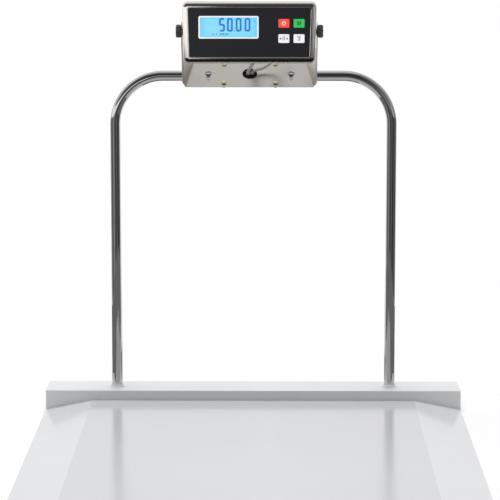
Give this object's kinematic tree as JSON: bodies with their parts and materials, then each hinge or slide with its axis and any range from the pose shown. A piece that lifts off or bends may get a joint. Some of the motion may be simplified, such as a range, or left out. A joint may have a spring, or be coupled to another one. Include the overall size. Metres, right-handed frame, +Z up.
{
  "type": "wheelchair scale",
  "caption": "Low steel floor scale with a ramp down each side, a beam with a bent handrail at the back, and a tilting display on the rail.",
  "frame": {"origin": "on the floor under the middle of the whole platform", "axes": "+X to the right as the display is read, +Y to the back where the handrail stands, +Z up"},
  "size_m": [1.302, 1.3954, 1.2849],
  "materials": {
    "painted_deck": "satin",
    "painted_beam": "satin",
    "galvanised_steel": "dull",
    "chrome_tube": "mirror",
    "cell_steel": "ground",
    "zinc_steel": "satin",
    "foot_rubber": "matte",
    "grey_plastic": "matte",
    "circuit_board": "satin",
    "black_cable": "satin",
    "grey_cable": "satin",
    "bracket_stainless": "brushed",
    "yellow_zinc": "satin",
    "housing_stainless": "polished",
    "panel_film": "satin",
    "window_film": "gloss",
    "lcd": "backlit",
    "battery_case": "matte",
    "key_red": "satin",
    "key_green": "satin",
    "key_white": "satin",
    "knob_plastic": "moulded"
  },
  "bodies": {
    "platform": {"deck_plate": "painted_deck", "beam_housing": "painted_beam", "post_collar_left": "painted_beam", "post_collar_right": "painted_beam", "deck_rib_front": "galvanised_steel", "deck_rib_middle": "galvanised_steel", "deck_rib_rear": "galvanised_steel", "beam_bottom_cover": "galvanised_steel", "post_socket_left": "galvanised_steel", "post_socket_right": "galvanised_steel", "handrail": "chrome_tube", "load_cell_front_left": "cell_steel", "load_cell_front_right": "cell_steel", "load_cell_rear_left": "cell_steel", "load_cell_rear_right": "cell_steel", "load_cell_bolt_front_left": "zinc_steel", "load_cell_bolt_front_right": "zinc_steel", "load_cell_bolt_rear_left": "zinc_steel", "load_cell_bolt_rear_right": "zinc_steel", "cable_grommet": "foot_rubber", "junction_box": "grey_plastic", "junction_box_lid": "grey_plastic", "junction_board": "circuit_board", "load_cell_cable_front_left": "black_cable", "load_cell_cable_front_right": "black_cable", "load_cell_cable_rear_left": "black_cable", "load_cell_cable_rear_right": "black_cable", "rail_cable": "black_cable", "signal_lead": "grey_cable", "power_lead": "grey_cable", "indicator_bracket": "bracket_stainless", "saddle_clamp_left": "bracket_stainless", "saddle_clamp_right": "bracket_stainless", "clamp_screw_upper_left": "yellow_zinc", "clamp_screw_upper_right": "yellow_zinc", "clamp_screw_lower_left": "yellow_zinc", "clamp_screw_lower_right": "yellow_zinc"},
    "indicator": {"housing_front": "housing_stainless", "housing_rear": "housing_stainless", "face_panel": "panel_film", "lcd_window": "window_film", "lcd_module": "lcd", "main_board": "circuit_board", "battery": "battery_case", "gland_signal": "knob_plastic", "gland_power": "knob_plastic"},
    "knob_left": {"knob_left": "knob_plastic"},
    "knob_right": {"knob_right": "knob_plastic"},
    "key_power": {"key_power": "key_red"},
    "key_hold": {"key_hold": "key_green"},
    "key_zero": {"key_zero": "key_white"},
    "key_unit": {"key_unit": "key_white"},
    "foot_front_left": {"foot_stem_front_left": "zinc_steel", "foot_pad_front_left": "foot_rubber"},
    "foot_front_right": {"foot_stem_front_right": "zinc_steel", "foot_pad_front_right": "foot_rubber"},
    "foot_rear_left": {"foot_stem_rear_left": "zinc_steel", "foot_pad_rear_left": "foot_rubber"},
    "foot_rear_right": {"foot_stem_rear_right": "zinc_steel", "foot_pad_rear_right": "foot_rubber"}
  },
  "joints": [
    {"name": "indicator_tilt", "type": "hinge", "parent": "platform", "child": "indicator", "pos_m": [-0.011, 0.50476, 1.19328], "axis": [1, 0, 0], "range_deg": [-44, 16], "deforming": ["signal_lead", "power_lead"]},
    {"name": "knob_left_turn", "type": "hinge", "parent": "indicator", "child": "knob_left", "pos_m": [-0.011, 0.50476, 1.19328], "axis": [-1, 0, 0], "continuous": true},
    {"name": "knob_right_turn", "type": "hinge", "parent": "indicator", "child": "knob_right", "pos_m": [-0.011, 0.50476, 1.19328], "axis": [1, 0, 0], "continuous": true},
    {"name": "key_power_press", "type": "slide", "parent": "indicator", "child": "key_power", "axis": [0, 0.9998, -0.0175], "range_m": [0, 0.0006], "stiffness_N_per_m": 3000},
    {"name": "key_hold_press", "type": "slide", "parent": "indicator", "child": "key_hold", "axis": [0, 0.9998, -0.0175], "range_m": [0, 0.0006], "stiffness_N_per_m": 3000},
    {"name": "key_zero_press", "type": "slide", "parent": "indicator", "child": "key_zero", "axis": [0, 0.9998, -0.0175], "range_m": [0, 0.0006], "stiffness_N_per_m": 3000},
    {"name": "key_unit_press", "type": "slide", "parent": "indicator", "child": "key_unit", "axis": [0, 0.9998, -0.0175], "range_m": [0, 0.0006], "stiffness_N_per_m": 3000},
    {"name": "foot_front_left_screw", "type": "hinge", "parent": "platform", "child": "foot_front_left", "pos_m": [-0.455, -0.65865, 0.006], "axis": [0, 0, 1], "continuous": true},
    {"name": "foot_front_right_screw", "type": "hinge", "parent": "platform", "child": "foot_front_right", "pos_m": [0.455, -0.65865, 0.006], "axis": [0, 0, 1], "continuous": true},
    {"name": "foot_rear_left_screw", "type": "hinge", "parent": "platform", "child": "foot_rear_left", "pos_m": [-0.455, 0.51335, 0.006], "axis": [0, 0, 1], "continuous": true},
    {"name": "foot_rear_right_screw", "type": "hinge", "parent": "platform", "child": "foot_rear_right", "pos_m": [0.455, 0.51335, 0.006], "axis": [0, 0, 1], "continuous": true}
  ]
}
